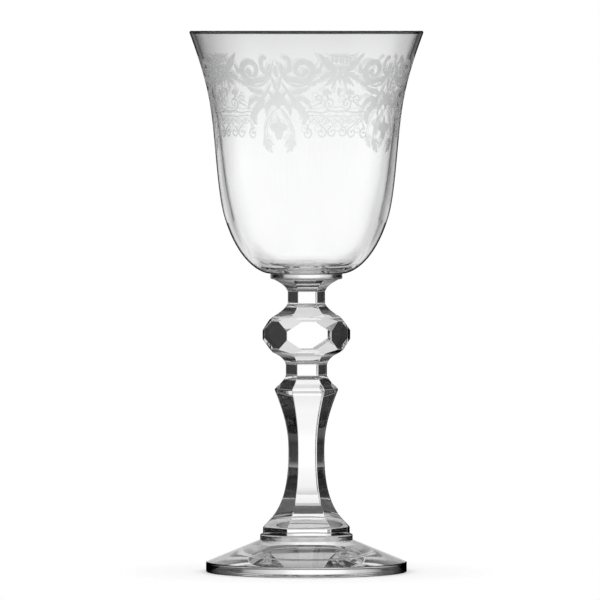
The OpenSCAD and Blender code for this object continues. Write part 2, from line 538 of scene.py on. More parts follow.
@dataclass
class Arabesque(Ornament):
    """Half a repeat of the frieze, from the axis of a pendant to the axis of a fan.

    The first number of a point runs from one axis to the other, the second runs down
    from the top.
    """

    lozenges: tuple = ((39.0, 4.8), (49.2, 4.8), (58.0, 3.4))
    lozenge_level: float = 67.8
    lozenge_high: float = 3.0
    lozenge_line: float = 1.1
    lozenge_heart: float = 0.4

    def draw(self) -> list[np.ndarray]:
        """Draw every figure.

        Returns:
            The figures' outlines.
        """
        for draw_figures in (self.pendant, self.volutes, self.acanthus, self.string_course, self.fan):
            draw_figures()
        return self.outlines

    def pendant(self) -> None:
        """Palmette over a pointed arch that holds a fleuron."""
        self.leaf([(0, 25), (0.2, 19), (0, 13)], 2.0, 1, 0.0)
        self.leaf([(0.5, 33), (3.5, 28), (4.6, 23)], 1.6, 1, 0.0)
        self.leaf([(0.5, 38), (2.6, 33), (3.0, 28.5)], 1.4, 1, 0.0)
        self.leaf([(0, 56), (0, 46), (0, 35)], 4.6, 4, 0.45)
        self.leaf([(0.5, 51), (6.5, 49.5), (11.8, 54.5), (12.8, 62.5)], 3.8, 3, 0.4)
        self.leaf([(0.8, 47), (5.2, 43.5), (9.2, 38)], 2.4, 2, 0.4)
        self.stroke([(0.5, 54.5), (6.5, 60), (12.5, 68.5), (16.2, 79), (15.6, 88)],
                    [0.9, 1.9, 2.1, 1.9, 1.8])
        self.stroke([(1.8, 58.5), (6.6, 63.5), (11, 71), (13.2, 79.5), (12.6, 86)],
                    [0.6, 1.1, 1.2, 1.1, 0.8])
        self.leaf([(16.2, 84), (14.4, 90.5), (7.6, 99)], 4.2, 3, 0.5)
        self.leaf([(15.4, 86), (9.8, 87.5), (6.2, 91.5)], 1.8, 2, 0.4)
        self.add([(-0.2, 59), (0.9, 65.5), (2.6, 69.5), (7.8, 70.4), (10.2, 73), (8.2, 77), (4.8, 78),
                 (4.2, 82), (1.8, 87), (0.3, 85), (-0.2, 87)])

    def volutes(self) -> None:
        """Pair of great C-scrolls that rise from the arch, each with an upright bud."""
        self.scroll((26.0, 18.0), 11.2, 118, -1.25, 6.6, 3.4,
                   [(1.6, 7.5), (4.6, 17.0), (11.0, 25.5)])
        self.stroke([(2.6, 17), (7.5, 26), (15.5, 32.2), (25, 33), (34, 29.5)],
                    [0.3, 1.4, 2.6, 2.2, 0.5])
        self.stroke([(8.2, 21), (12.8, 17.5), (13.6, 11), (12.2, 6), (9.4, 6.4)],
                    [4.2, 5.0, 3.6, 4.2, 2.6])
        self.disc((10.4, 5.6), 2.9, 0.85)
        self.leaf([(9, 18), (6.4, 14.5), (5.6, 11)], 1.5, 1, 0.0)
        self.leaf([(28, 31), (35.5, 31), (42, 26.5)], 2.6, 3, 0.5)
        self.leaf([(36.5, 22), (41.5, 17.5), (43.5, 11)], 2.4, 2, 0.5)

    def acanthus(self) -> None:
        """Leafy stem that sweeps from the arch down to the string course."""
        self.stroke([(5.6, 30), (9.5, 37), (15, 44), (20.5, 50), (27.5, 58.5)],
                    [0.8, 3.0, 4.4, 4.6, 3.0])
        self.leaf([(12.5, 40.5), (20, 39), (27.5, 37), (34, 32.5)], 2.9, 4, 0.4)
        self.leaf([(16.5, 45.5), (25, 46), (31.5, 50), (34.5, 57)], 3.0, 3, 0.5)
        self.leaf([(20.5, 50.5), (24.8, 57.5), (28.5, 65), (24.5, 71.5)], 4.6, 3, 0.5)
        self.leaf([(14.5, 44.5), (16.6, 52), (21.5, 58)], 2.2, 3, 0.4)
        self.scroll((30.2, 80.2), 5.2, -100, 1.1, 2.3, 1.3, [(26, 63), (33, 67.5)])
        self.scroll((41.4, 46), 4.7, 85, -1.1, 1.9, 1.1, [(30, 58), (36, 53.5)])

    def string_course(self) -> None:
        """Fine double line with lozenges below it and small scrolls on both sides."""
        self.stroke([(26, 59.5), (34, 58.4), (44, 59.6), (54, 57.6), (64, 59.2)],
                    [1.7, 1.5, 1.5, 1.7, 1.5])
        self.stroke([(29, 62.7), (40, 62.0), (52, 63.2), (64, 62.0)], [0.9, 1.0, 1.0, 1.0])
        for at, half in self.lozenges:
            self.lozenge((at, self.lozenge_level), half)
        self.scroll((53.0, 50.2), 5.2, 140, 1.1, 2.0, 1.2, [(62, 57.4), (55.5, 57.6), (50, 55.5)])
        self.scroll((45.2, 79.0), 5.5, -75, 1.1, 2.1, 1.3, [(38, 67), (42.5, 71)])
        self.scroll((56.4, 78.4), 5.2, -105, -1.1, 2.0, 1.2, [(62, 67), (58.5, 71)])

    def lozenge(self, centre: Sequence[float], half: float) -> None:
        """Draw a lozenge as a thin frame round a small solid one.

        Args:
            centre: Its centre.
            half: Half its width.
        """
        x, y = centre
        high, line = self.lozenge_high, self.lozenge_line
        for sx, sy in ((1, 1), (1, -1), (-1, 1), (-1, -1)):
            side = [(x + sx * half, y), (x + sx * half / 2, y + sy * high / 2), (x, y + sy * high)]
            self.stroke(side, [line, line])
        across, down = half * self.lozenge_heart, high * self.lozenge_heart
        self.add([(x + across, y), (x, y + down), (x - across, y), (x, y - down)])

    def fan(self) -> None:
        """Fan of leaves under a small canopy, on the second axis."""
        self.stroke([(50.0, 2.4), (55, 4.2), (62.5, 4.0)], [0.8, 2.9, 2.5])
        for at in (53.4, 57.0, 60.8):
            self.leaf([(at, 5), (at + 0.2, 8.6), (at, 11.8)], 1.4, 1, 0.0)
        self.stroke([(51.5, 12.8), (56.5, 15.4), (62.5, 14.8)], [1.2, 3.6, 3.2])
        self.leaf([(58.5, 19.5), (52.5, 15.0), (46.5, 8.5), (40.0, 1.2)], 3.9, 3, 0.3)
        self.leaf([(59.5, 19), (53.0, 21.5), (46.5, 24), (40.5, 30.5)], 3.4, 4, 0.55)
        self.leaf([(58.5, 21.5), (53.5, 27.5), (46.5, 33.5)], 2.4, 3, 0.5)
        self.leaf([(62, 15.5), (62, 22), (62, 31)], 3.2, 3, 0.5)
        self.leaf([(60.0, 22.5), (57.2, 28.5), (54.2, 37)], 1.9, 3, 0.5)
        self.leaf([(62, 34.5), (62, 38.5), (62, 43.5)], 2.1, 1, 0.0)
        self.add([(49.0, 36.2), (51.6, 36.2), (51.6, 38.0), (54.8, 38.0), (54.8, 41.6), (51.6, 41.6),
                 (51.2, 45.6), (49.4, 45.6), (49.0, 41.6), (45.8, 41.6), (45.8, 38.0), (49.0, 38.0)])


@dataclass
class Frieze:
    """Etched arabesque round the upper bowl: half repeats, mirrored about their axes."""

    wide: float = 62.0
    deep: float = 102.0
    repeats: int = 5
    columns: int = 24
    rows: int = 42
    merge: float = 1e-4
    axis_deg: float = -111.0
    top: float = 119.9
    bottom: float = 96.3

    def pattern(self) -> tuple[np.ndarray, np.ndarray, np.ndarray]:
        """Divide half a repeat into triangles along the figures' outlines.

        Returns:
            The points, the triangles between them, and whether each is etched.
        """
        columns = np.linspace(0, self.wide, self.columns + 1)
        rows = np.linspace(0, self.deep, self.rows + 1)
        points = [(float(u), float(v)) for v in rows for u in columns]
        across = self.columns + 1
        edges = []
        for i in range(self.columns):
            edges += [(i, i + 1), (self.rows * across + i, self.rows * across + i + 1)]
        for i in range(self.rows):
            edges += [(i * across, (i + 1) * across), ((i + 1) * across - 1, (i + 2) * across - 1)]
        outlines = Arabesque().draw()
        for outline in outlines:
            first, count = len(points), len(outline)
            points += [(float(u), float(v)) for u, v in outline]
            edges += [(first + i, first + (i + 1) % count) for i in range(count)]
        result = delaunay_2d_cdt([Vector(p) for p in points], edges, [], 0, self.merge)
        places = np.array([tuple(p) for p in result[0]])
        triangles = np.array([tuple(corners) for corners in result[2]])
        middles = places[triangles].mean(axis=1)
        within = np.all((middles > 0) & (middles < (self.wide, self.deep)), axis=1)
        triangles, middles = triangles[within], middles[within]
        etched = np.zeros(len(triangles), dtype=bool)
        for outline in outlines:
            etched |= windings(outline, middles) != 0
        return places, triangles, etched


@dataclass
class EtchedSpan(Span):
    """A stretch of the outside into which the frieze's figures are etched.

    The stretch runs from the foot of the frieze to its top.
    """

    frieze: Frieze = field(default_factory=Frieze)
    turn_grid: int = 2000
    row_grid: int = 1000

    def lay(self, lathe: Lathe, draft: MeshDraft, last: Sequence[int]) -> Sequence[int]:
        """Add the frieze's faces between the ring below it and a new one above.

        Args:
            lathe: What turns the outline.
            draft: The mesh so far.
            last: Vertices of the ring below the frieze.

        Returns:
            The vertices of the ring above it.
        """
        places, triangles, etched = self.frieze.pattern()
        upper = lathe.ring(draft, np.full(lathe.around, self.points[-1][0]), self.points[-1][1])
        heights = self.points[:, 1]
        levels = heights[-1] - places[:, 1] / self.frieze.deep * (heights[-1] - heights[0])
        radii = np.interp(levels, heights, self.points[:, 0])
        normals = self.normals()
        leans = np.column_stack([np.interp(levels, heights, normals[:, i]) for i in (0, 1)])
        per_half = lathe.around / self.frieze.repeats / 2
        steps = places[:, 0] / self.frieze.wide * per_half
        known: dict[tuple[int, int], int] = {}
        for row, ring in ((self.frieze.deep, last), (0.0, upper)):
            for j, vertex in enumerate(ring):
                known[self.key(j, row, lathe.around)] = vertex
        for repeat in range(self.frieze.repeats):
            for side in (1, -1):
                turned = 2 * per_half * repeat + side * steps
                numbers = []
                for i, j in enumerate(turned):
                    key = self.key(j, places[i, 1], lathe.around)
                    if key not in known:
                        known[key] = len(draft.points)
                        across, along = math.cos(lathe.angle(j)), math.sin(lathe.angle(j))
                        draft.points.append((radii[i] * across, radii[i] * along, levels[i]))
                    numbers.append(known[key])
                for corners, matt in zip(triangles, etched):
                    ordered = corners[::-side]
                    draft.add_face(
                        [numbers[c] for c in ordered],
                        [lathe.turn(leans[c], turned[c]) for c in ordered],
                        Surface.ETCHED if matt else Surface.CLEAR,
                    )
        return upper

    def key(self, j: float, row: float, around: int) -> tuple[int, int]:
        """Name a place on the frieze, so that neighbours share their vertices."""
        turn = round(j % around * self.turn_grid) % (around * self.turn_grid)
        return (turn, round(row * self.row_grid))


class Graph:
    """Short ways to add and join shader nodes."""

    most_tone: float = 2.0
    mix_ends: dict[str, tuple[int, int, int]] = {"FLOAT": (2, 3, 0), "RGBA": (6, 7, 2)}

    def __init__(self, tree: bpy.types.NodeTree) -> None:
        """Keep the node tree."""
        self.nodes = tree.nodes
        self.links = tree.links

    def put(self, socket: bpy.types.NodeSocket, value: object) -> None:
        """Join a socket to another, or set its number.

        Args:
            socket: The input.
            value: An output to join to it, or a plain value.
        """
        if isinstance(value, bpy.types.NodeSocket):
            self.links.new(value, socket)
        else:
            socket.default_value = value

    def math(self, kind: str, *values: object) -> bpy.types.NodeSocket:
        """Add a Math node.

        Args:
            kind: Its operation.
            values: What goes into it.

        Returns:
            Its result.
        """
        node = self.nodes.new("ShaderNodeMath")
        node.operation = kind
        for socket, value in zip(node.inputs, values):
            self.put(socket, value)
        return node.outputs[0]

    def smooth(self, value: bpy.types.NodeSocket, low: float, high: float) -> bpy.types.NodeSocket:
        """Add a step that is eased at both ends.

        Args:
            value: What the step depends on.
            low: The value up to which it is 0.
            high: The value from which it is 1.

        Returns:
            The step.
        """
        node = self.nodes.new("ShaderNodeMapRange")
        node.interpolation_type = "SMOOTHSTEP"
        for name, entry in (("Value", value), ("From Min", low), ("From Max", high)):
            self.put(node.inputs[name], entry)
        return node.outputs["Result"]

    def ramp(
        self, value: bpy.types.NodeSocket, stops: Sequence[Sequence[float]], span: float
    ) -> bpy.types.NodeSocket:
        """Add a curve of tones over a value.

        Args:
            value: What the tone depends on.
            stops: Value and tone of each stop.
            span: Largest value, at the ramp's right end.

        Returns:
            The tone.
        """
        node = self.nodes.new("ShaderNodeFloatCurve")
        curve = node.mapping.curves[0]
        for at, tone in stops[1:-1]:
            curve.points.new(at / span, tone / self.most_tone)
        for point, (at, tone) in zip(curve.points, stops):
            point.location = (at / span, tone / self.most_tone)
            point.handle_type = "AUTO_CLAMPED"
        node.mapping.update()
        self.put(node.inputs["Value"], self.math("DIVIDE", value, span))
        return self.math("MULTIPLY", node.outputs[0], self.most_tone)

    def mix(
        self, share: bpy.types.NodeSocket, first: object, second: object, kind: str = "FLOAT"
    ) -> bpy.types.NodeSocket:
        """Blend two values or two colours.

        Args:
            share: How much of the second there is, from 0 to 1.
            first: The first.
            second: The second.
            kind: FLOAT for values and RGBA for colours.

        Returns:
            The blend.
        """
        node = self.nodes.new("ShaderNodeMix")
        node.data_type = kind
        low, high, result = self.mix_ends[kind]
        for at, value in ((0, share), (low, first), (high, second)):
            self.put(node.inputs[at], value)
        return node.outputs[result]

    def shows(self) -> bpy.types.NodeSocket:
        """1 for rays that show a thing to the camera, straight or by way of glass."""
        path = self.nodes.new("ShaderNodeLightPath")
        return self.math("MAXIMUM", path.outputs["Is Camera Ray"], self.by_glass())

    def by_glass(self) -> bpy.types.NodeSocket:
        """1 for rays that come from a mirroring or a clear surface."""
        path = self.nodes.new("ShaderNodeLightPath")
        return self.math("MAXIMUM", path.outputs["Is Glossy Ray"], path.outputs["Is Transmission Ray"])

    def place(self, kind: str = "Object") -> bpy.types.NodeSocket:
        """Where the shaded point lies, in the object's own metres or on the world."""
        return self.nodes.new("ShaderNodeTexCoord").outputs[kind]

    def parts(self, vector: bpy.types.NodeSocket) -> Sequence[bpy.types.NodeSocket]:
        """Split a vector.

        Args:
            vector: The vector.

        Returns:
            Its X, Y and Z.
        """
        node = self.nodes.new("ShaderNodeSeparateXYZ")
        self.put(node.inputs[0], vector)
        return node.outputs

    def reach_mm(self) -> bpy.types.NodeSocket:
        """Measure how far the shaded point is from the object's origin.

        Returns:
            The distance in millimetres.
        """
        node = self.nodes.new("ShaderNodeVectorMath")
        node.operation = "LENGTH"
        self.put(node.inputs[0], self.place())
        return self.math("DIVIDE", node.outputs["Value"], MM)

    def let_through(self, colour: object) -> None:
        """Make the material a plain filter: light crosses it straight on.

        Args:
            colour: The share of the light that it lets through.
        """
        self.nodes.remove(self.nodes["Principled BSDF"])
        shader = self.nodes.new("ShaderNodeBsdfTransparent")
        self.put(shader.inputs["Color"], colour)
        self.put(self.nodes["Material Output"].inputs["Surface"], shader.outputs["BSDF"])

    def facing(self) -> bpy.types.NodeSocket:
        """0 where a surface is seen face on, 1 where it is seen along its side."""
        return self.nodes.new("ShaderNodeLayerWeight").outputs["Facing"]

    def noise(self, size_mm: float, detail: float) -> bpy.types.NodeSocket:
        """Add soft noise fixed to the object, between 0 and 1.

        Args:
            size_mm: Size of its features.
            detail: Number of finer layers.

        Returns:
            The noise.
        """
        node = self.nodes.new("ShaderNodeTexNoise")
        node.inputs["Scale"].default_value = 1 / (size_mm * MM)
        node.inputs["Detail"].default_value = detail
        self.put(node.inputs["Vector"], self.place())
        return node.outputs["Fac"]

    def bump(self, height: bpy.types.NodeSocket, depth_mm: float) -> bpy.types.NodeSocket:
        """Turn a height into a normal.

        Args:
            height: A value between 0 and 1.
            depth_mm: What the height of 1 stands for.

        Returns:
            The normal.
        """
        node = self.nodes.new("ShaderNodeBump")
        node.inputs["Distance"].default_value = depth_mm * MM
        self.put(node.inputs["Height"], height)
        return node.outputs["Normal"]

    def spread(self, value: bpy.types.NodeSocket, source: tuple, target: tuple) -> bpy.types.NodeSocket:
        """Map one range of numbers onto another, held at both ends.

        Args:
            value: What is mapped.
            source: The range it comes from.
            target: The range it goes to.

        Returns:
            The mapped value.
        """
        node = self.nodes.new("ShaderNodeMapRange")
        ends = ("Value", "From Min", "From Max", "To Min", "To Max")
        for name, entry in zip(ends, (value, *source, *target)):
            self.put(node.inputs[name], entry)
        return node.outputs["Result"]


@dataclass(frozen=True)
class Finish:
    """A procedural finish with a name of its own."""

    name: str

    def paint(self, graph: Graph) -> None:
        """Join up the nodes of the finish's material.

        Args:
            graph: The material's nodes.
        """
        raise NotImplementedError


@cache
def material_of(finish: Finish) -> bpy.types.Material:
    """Make a finish's material, once for all the pieces that take it.

    Args:
        finish: The finish.

    Returns:
        Its material.
    """
    material = bpy.data.materials.new(finish.name)
    material.use_nodes = True
    finish.paint(Graph(material.node_tree))
    return material


def grey(level: float) -> Colour:
    """Neutral colour of one level."""
    return (level, level, level, 1.0)


@dataclass(frozen=True)
class ClearGlass(Finish):
    """Clear glass with a faint waviness, wiped haze and painted shade along its edges.

    The painted shade darkens the colour where the line of sight runs along the surface,
    standing in for the dark outline that dark surroundings give, and the glass is clear
    where it is seen face on. The outline is a coat with no gloss of its own, whose tint
    paints a darker outline as shade.
    """

    wave_mm: float
    wave_depth_mm: float
    # painted shade: a near-black colour and a dim coat towards the outline, where the surface is seen
    # edge-on
    edge_shade_tint: Colour = (0.012, 0.012, 0.012, 1.0)
    edge_shade_facing: tuple[float, float] = (0.7, 0.9)
    outline_shade_tint: Colour = (0.3, 0.3, 0.3, 1.0)
    outline_shade_facing: tuple[float, float] = (0.76, 0.86)
    tint: Colour = (0.995, 0.997, 0.997, 1.0)
    ior: float = 1.51
    wave_detail: float = 1.0
    haze_mm: float = 5.0
    haze_detail: float = 3.0
    haze_range: tuple[float, float] = (0.52, 0.75)
    haze: float = 0.012

    def paint(self, graph: Graph) -> None:
        """Join up the nodes of the glass.

        Args:
            graph: The material's nodes.
        """
        shader = graph.nodes["Principled BSDF"]
        shader.inputs["Transmission Weight"].default_value = 1.0
        shader.inputs["IOR"].default_value = self.ior
        # painted shade: the colour goes dark and a dark coat is laid on by how edge-on the surface is seen
        along = graph.facing()
        edge_shade_share = graph.smooth(along, *self.edge_shade_facing)
        tone = graph.mix(edge_shade_share, self.tint, self.edge_shade_tint, "RGBA")
        graph.put(shader.inputs["Base Color"], tone)
        graph.put(shader.inputs["Coat Weight"], graph.smooth(along, *self.outline_shade_facing))
        shader.inputs["Coat IOR"].default_value = 1.0
        shader.inputs["Coat Tint"].default_value = self.outline_shade_tint
        wiped = graph.noise(self.haze_mm, self.haze_detail)
        graph.put(shader.inputs["Roughness"], graph.spread(wiped, self.haze_range, (0.0, self.haze)))
        waves = graph.noise(self.wave_mm, self.wave_detail)
        graph.put(shader.inputs["Normal"], graph.bump(waves, self.wave_depth_mm))


@dataclass(frozen=True)
class FusedSeat(Finish):
    """Where two pieces are melted together, so that light crosses straight on; a tint below white dims what
    passes, as painted shade.
    """

    tint: Colour = (1.0, 1.0, 1.0, 1.0)

    def paint(self, graph: Graph) -> None:
        """Join up the nodes of the seat."""
        graph.let_through(self.tint)


@dataclass(frozen=True)
class EtchedGlass(Finish):
    """Matt etched glass: a fine frosted grain that scatters what passes through it."""

    tint: Colour = (0.9, 0.905, 0.905, 1.0)
    ior: float = 1.51
    roughness: tuple[float, float] = (0.36, 0.48)
    grain_mm: float = 0.12
    grain_detail: float = 2.0
    grain_range: tuple[float, float] = (0.3, 0.7)
    grain_depth_mm: float = 0.006

    def paint(self, graph: Graph) -> None:
        """Join up the nodes of the etching.

        Args:
            graph: The material's nodes.
        """
        shader = graph.nodes["Principled BSDF"]
        shader.inputs["Base Color"].default_value = self.tint
        shader.inputs["Transmission Weight"].default_value = 1.0
        shader.inputs["IOR"].default_value = self.ior
        grain = graph.noise(self.grain_mm, self.grain_detail)
        graph.put(shader.inputs["Roughness"], graph.spread(grain, self.grain_range, self.roughness))
        graph.put(shader.inputs["Normal"], graph.bump(grain, self.grain_depth_mm))


# Every clear finish darkens its outline as painted shade; the ones below widen or narrow that shade.
PRESSED = ClearGlass("pressed_glass", wave_mm=5.0, wave_depth_mm=0.012)
MOULDED = ClearGlass("moulded_glass", wave_mm=7.0, wave_depth_mm=0.02, outline_shade_facing=(0.97, 0.99))
BLOWN = ClearGlass("blown_glass", wave_mm=14.0, wave_depth_mm=0.01, outline_shade_facing=(0.795, 0.9))
# painted shade: the foot's edge, the discs' edges, the bowl's well and its heel are darkened where seen
# edge-on
FOOT_EDGE_SHADE = replace(
    MOULDED, name="moulded_edge_painted_shade", edge_shade_tint=grey(0.05), edge_shade_facing=(0.0, 0.55), outline_shade_facing=(0.35, 0.7)
)
LOW_DISC_EDGE_SHADE = replace(PRESSED, name="low_disc_edge_painted_shade", edge_shade_tint=grey(0.1), edge_shade_facing=(0.42, 0.56))
HIGH_DISC_EDGE_SHADE = replace(PRESSED, name="high_disc_edge_painted_shade", edge_shade_tint=grey(0.045), edge_shade_facing=(0.2, 0.34))
# painted shade: the lip is coloured near black all over for the dark rim line
SHADED_LIP = replace(BLOWN, name="lip_painted_shade", tint=grey(0.05), edge_shade_facing=(0.3, 0.7))
BOWL_WELL_SHADE = replace(BLOWN, name="blown_well_painted_shade", edge_shade_facing=(0.95, 0.99), outline_shade_facing=(0.94, 0.97))
BOWL_HEEL_SHADE = replace(BLOWN, name="blown_heel_painted_shade", outline_shade_tint=grey(0.2), outline_shade_facing=(0.73, 0.86))
PLAIN_SEAT = FusedSeat("fused_seat")
# painted shade: grey seats dim what is seen through the bowl's and the foot's joints
BOWL_SEAT_SHADE = FusedSeat("bowl_seat_painted_shade", grey(0.82))
FOOT_SEAT_SHADE = FusedSeat("foot_seat_painted_shade", grey(0.72))
ETCHED = EtchedGlass("etched_glass")


class GlassPiece:
    """A piece of the glass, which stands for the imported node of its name."""

    node: str

    @cached_property
    def box(self) -> NodeBox:
        """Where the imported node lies."""
        return NodeBox.of(self.node)

    def spans(self) -> list[Span]:
        """Outline that the piece is turned from."""
        raise NotImplementedError

    def finishes(self) -> dict[Surface, Finish]:
        """Finish of each kind of face."""
        raise NotImplementedError

    def draft(self) -> MeshDraft:
        """Lay out the mesh, which is turned unless the piece has a way of its own."""
        return Lathe(self.spans()).draft()

    def build(self) -> bpy.types.Object:
        """Make the piece and let it stand for its node and move with the glass.

        Returns:
            The piece.
        """
        piece = self.draft().make(f"glass_{self.node}", self.finishes())
        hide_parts(self.node)
        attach(piece, BODY)
        log.info("%s stands for %s with %d faces", piece.name, self.node, len(piece.data.polygons))
        return piece


@dataclass
class Foot(GlassPiece):
    """Broad round foot: a low cone with an upright edge and a flat recess below."""

    node: str = "foot"
    edge_t: float = 2.4
    top_round: float = 0.3
    bottom_round: float = 0.25
    recess_r: float = 13.9
    recess_wall: float = 1.0
    recess_depth: float = 0.35
    recess_shares: tuple = ((0.45, 0.0), (0.55, 1.0))
    cone_shares: tuple = ((0.33, 0.33), (0.67, 0.67))
    seat_margin: float = 0.1
    curve_steps: int = 16
    round_steps: tuple = (10, 8)

    def spans(self) -> list[Span]:
        """Draw the outline from the middle of the recess, over the edge and up to the seat.

        Returns:
            The stretches of the outline.
        """
        disc = foot_collar()
        radius, top = self.box.radius, self.box.top
        low_steps, high_steps = self.round_steps
        cone_top = (disc.box.radius + self.seat_margin, top)
        slope = math.degrees(math.atan2(top - self.edge_t, radius - cone_top[0]))
        brow = (self.recess_r - self.recess_wall, self.recess_depth)
        recess = bend(brow, (self.recess_r, 0), self.recess_shares, self.curve_steps)
        ring_edge = (radius - self.bottom_round, self.bottom_round)
        edge_low = arc(ring_edge, self.bottom_round, -90, 0, low_steps)
        shoulder = (radius - self.top_round, self.edge_t - self.top_round)
        edge_high = arc(shoulder, self.top_round, 0, 90 - slope, high_steps)
        cone = bend(edge_high[-1], cone_top, self.cone_shares, self.curve_steps)
        return [
            Span(np.array([(0, self.recess_depth), brow])),
            Span(recess),
            Span(np.array([recess[-1], edge_low[0]])),
            Span(edge_low, Surface.EDGE),
            Span(np.array([edge_low[-1], edge_high[0]]), Surface.EDGE),
            Span(edge_high, Surface.EDGE),
            Span(cone),
            Span(np.array([cone[-1], (disc.flat_radius, top)])),
            Span(np.array([(disc.flat_radius, top), (0, top)]), Surface.SEAT),
        ]

    def finishes(self) -> dict[Surface, Finish]:
        """Finish of each kind of face."""
        return {Surface.CLEAR: MOULDED, Surface.SEAT: FOOT_SEAT_SHADE, Surface.EDGE: FOOT_EDGE_SHADE}


@dataclass
class Bowl(GlassPiece):
    """Blown bell with a flared rim and a rounded lip."""

    node: str = "bowl"
    frieze: Frieze = field(default_factory=Frieze)
    belly_r: float = 20.7
    heel_r: float = 18.55
    belly_share: float = 0.438
    heel_share: float = 0.211
    seat_margin: float = 0.3
    lip_steps: int = 1
    lip_arc_steps: int = 24
    wall_steps: tuple = (160, 32, 48)
    flare_shares: tuple = ((0.815, 0.45), (0.797, 0.569))
    side_shares: tuple = ((0.357, 0.63), (0.643, 0.819))
    heel_shares: tuple = ((0.335, 0.846), (0.858, 1.0))
    flare_wall: tuple = (0.75, 0.80, 0.95, 1.4)
    side_wall: tuple = (1.4, 1.6, 1.8, 1.7)
    heel_wall: tuple = (1.7, 1.4, 1.3, 2.2)

    def spans(self) -> list[Span]:
        """Draw the outline from the seat up the outside, over the lip and down the inside.

        Returns:
            The stretches of the outline.
        """
        disc = bowl_collar()
        rim_r, seat_z, rim_z = self.box.radius, self.box.bottom, self.box.top
        height = rim_z - seat_z
        belly = (self.belly_r, seat_z + height * self.belly_share)
        heel = (self.heel_r, seat_z + height * self.heel_share)
        lip_r = self.flare_wall[0] / 2
        lean = self.lip_lean((rim_r, rim_z - lip_r), belly)
        lip_arc = arc((rim_r - lip_r, rim_z - lip_r), lip_r, -lean, 180 - lean, self.lip_arc_steps)
        seat = (disc.box.radius + self.seat_margin, seat_z)
        ends = (lip_arc[0], belly, heel, seat)
        shares = (self.flare_shares, self.side_shares, self.heel_shares)
        outside = [bend(*run) for run in zip(ends, ends[1:], shares, self.wall_steps)]
        walls = (self.flare_wall, self.side_wall, self.heel_wall)
        inside = [inner_wall(points, wall) for points, wall in zip(outside, walls)]
        floor_z = inside[-1][-1][1]
        return [
            Span(np.array([(0, seat_z), (disc.flat_radius, seat_z)]), Surface.SEAT),
            Span(np.array([(disc.flat_radius, seat_z), seat])),
            Span(outside[2][::-1], Surface.HEEL),
            Span(outside[1][::-1]),
            *self.flare(outside[0][::-1]),
            Span(lip_arc, Surface.EDGE),
            Span(inside[0][: self.lip_steps + 1], Surface.EDGE),
            Span(inside[0][self.lip_steps :]),
            Span(inside[1]),
            Span(inside[2], Surface.WELL),
            Span(np.array([inside[-1][-1], (0, floor_z)]), Surface.WELL),
        ]

    def flare(self, points: np.ndarray) -> list[Span]:
        """Part the flare into what is below, in and above the frieze.

        Args:
            points: The flare's outside from the belly to the rim.

        Returns:
            The stretches, with a short one at the lip.
        """
        low, high = np.searchsorted(points[:, 1], (self.frieze.bottom, self.frieze.top))
        return [
            Span(points[: low + 1 : 2] if low % 2 == 0 else points[: low + 1]),
            EtchedSpan(points[low : high + 1], frieze=self.frieze),
            Span(points[high : -self.lip_steps]),
            Span(points[-self.lip_steps - 1 :], Surface.EDGE),
        ]

    def lip_lean(self, rim: Sequence[float], belly: Sequence[float]) -> float:
        """Lean of the wall at the rim, in degrees from upright.

        Args:
            rim: Outer end of the flare, as radius and height.
            belly: Its lower end.

        Returns:
            The angle of the flare's first handle.
        """
        run = np.subtract(rim, belly) * self.flare_shares[0]
        return math.degrees(math.atan2(run[0], run[1]))

    def draft(self) -> MeshDraft:
        """Turn the outline, starting on the axis of a pendant."""
        return Lathe(self.spans(), first_turn=math.radians(self.frieze.axis_deg)).draft()

    def finishes(self) -> dict[Surface, Finish]:
        """List the finishes.

        Returns:
            The finish of each kind of face.
        """
        return {
            Surface.CLEAR: BLOWN, Surface.SEAT: BOWL_SEAT_SHADE, Surface.ETCHED: ETCHED,
            Surface.EDGE: SHADED_LIP, Surface.WELL: BOWL_WELL_SHADE, Surface.HEEL: BOWL_HEEL_SHADE,
        }


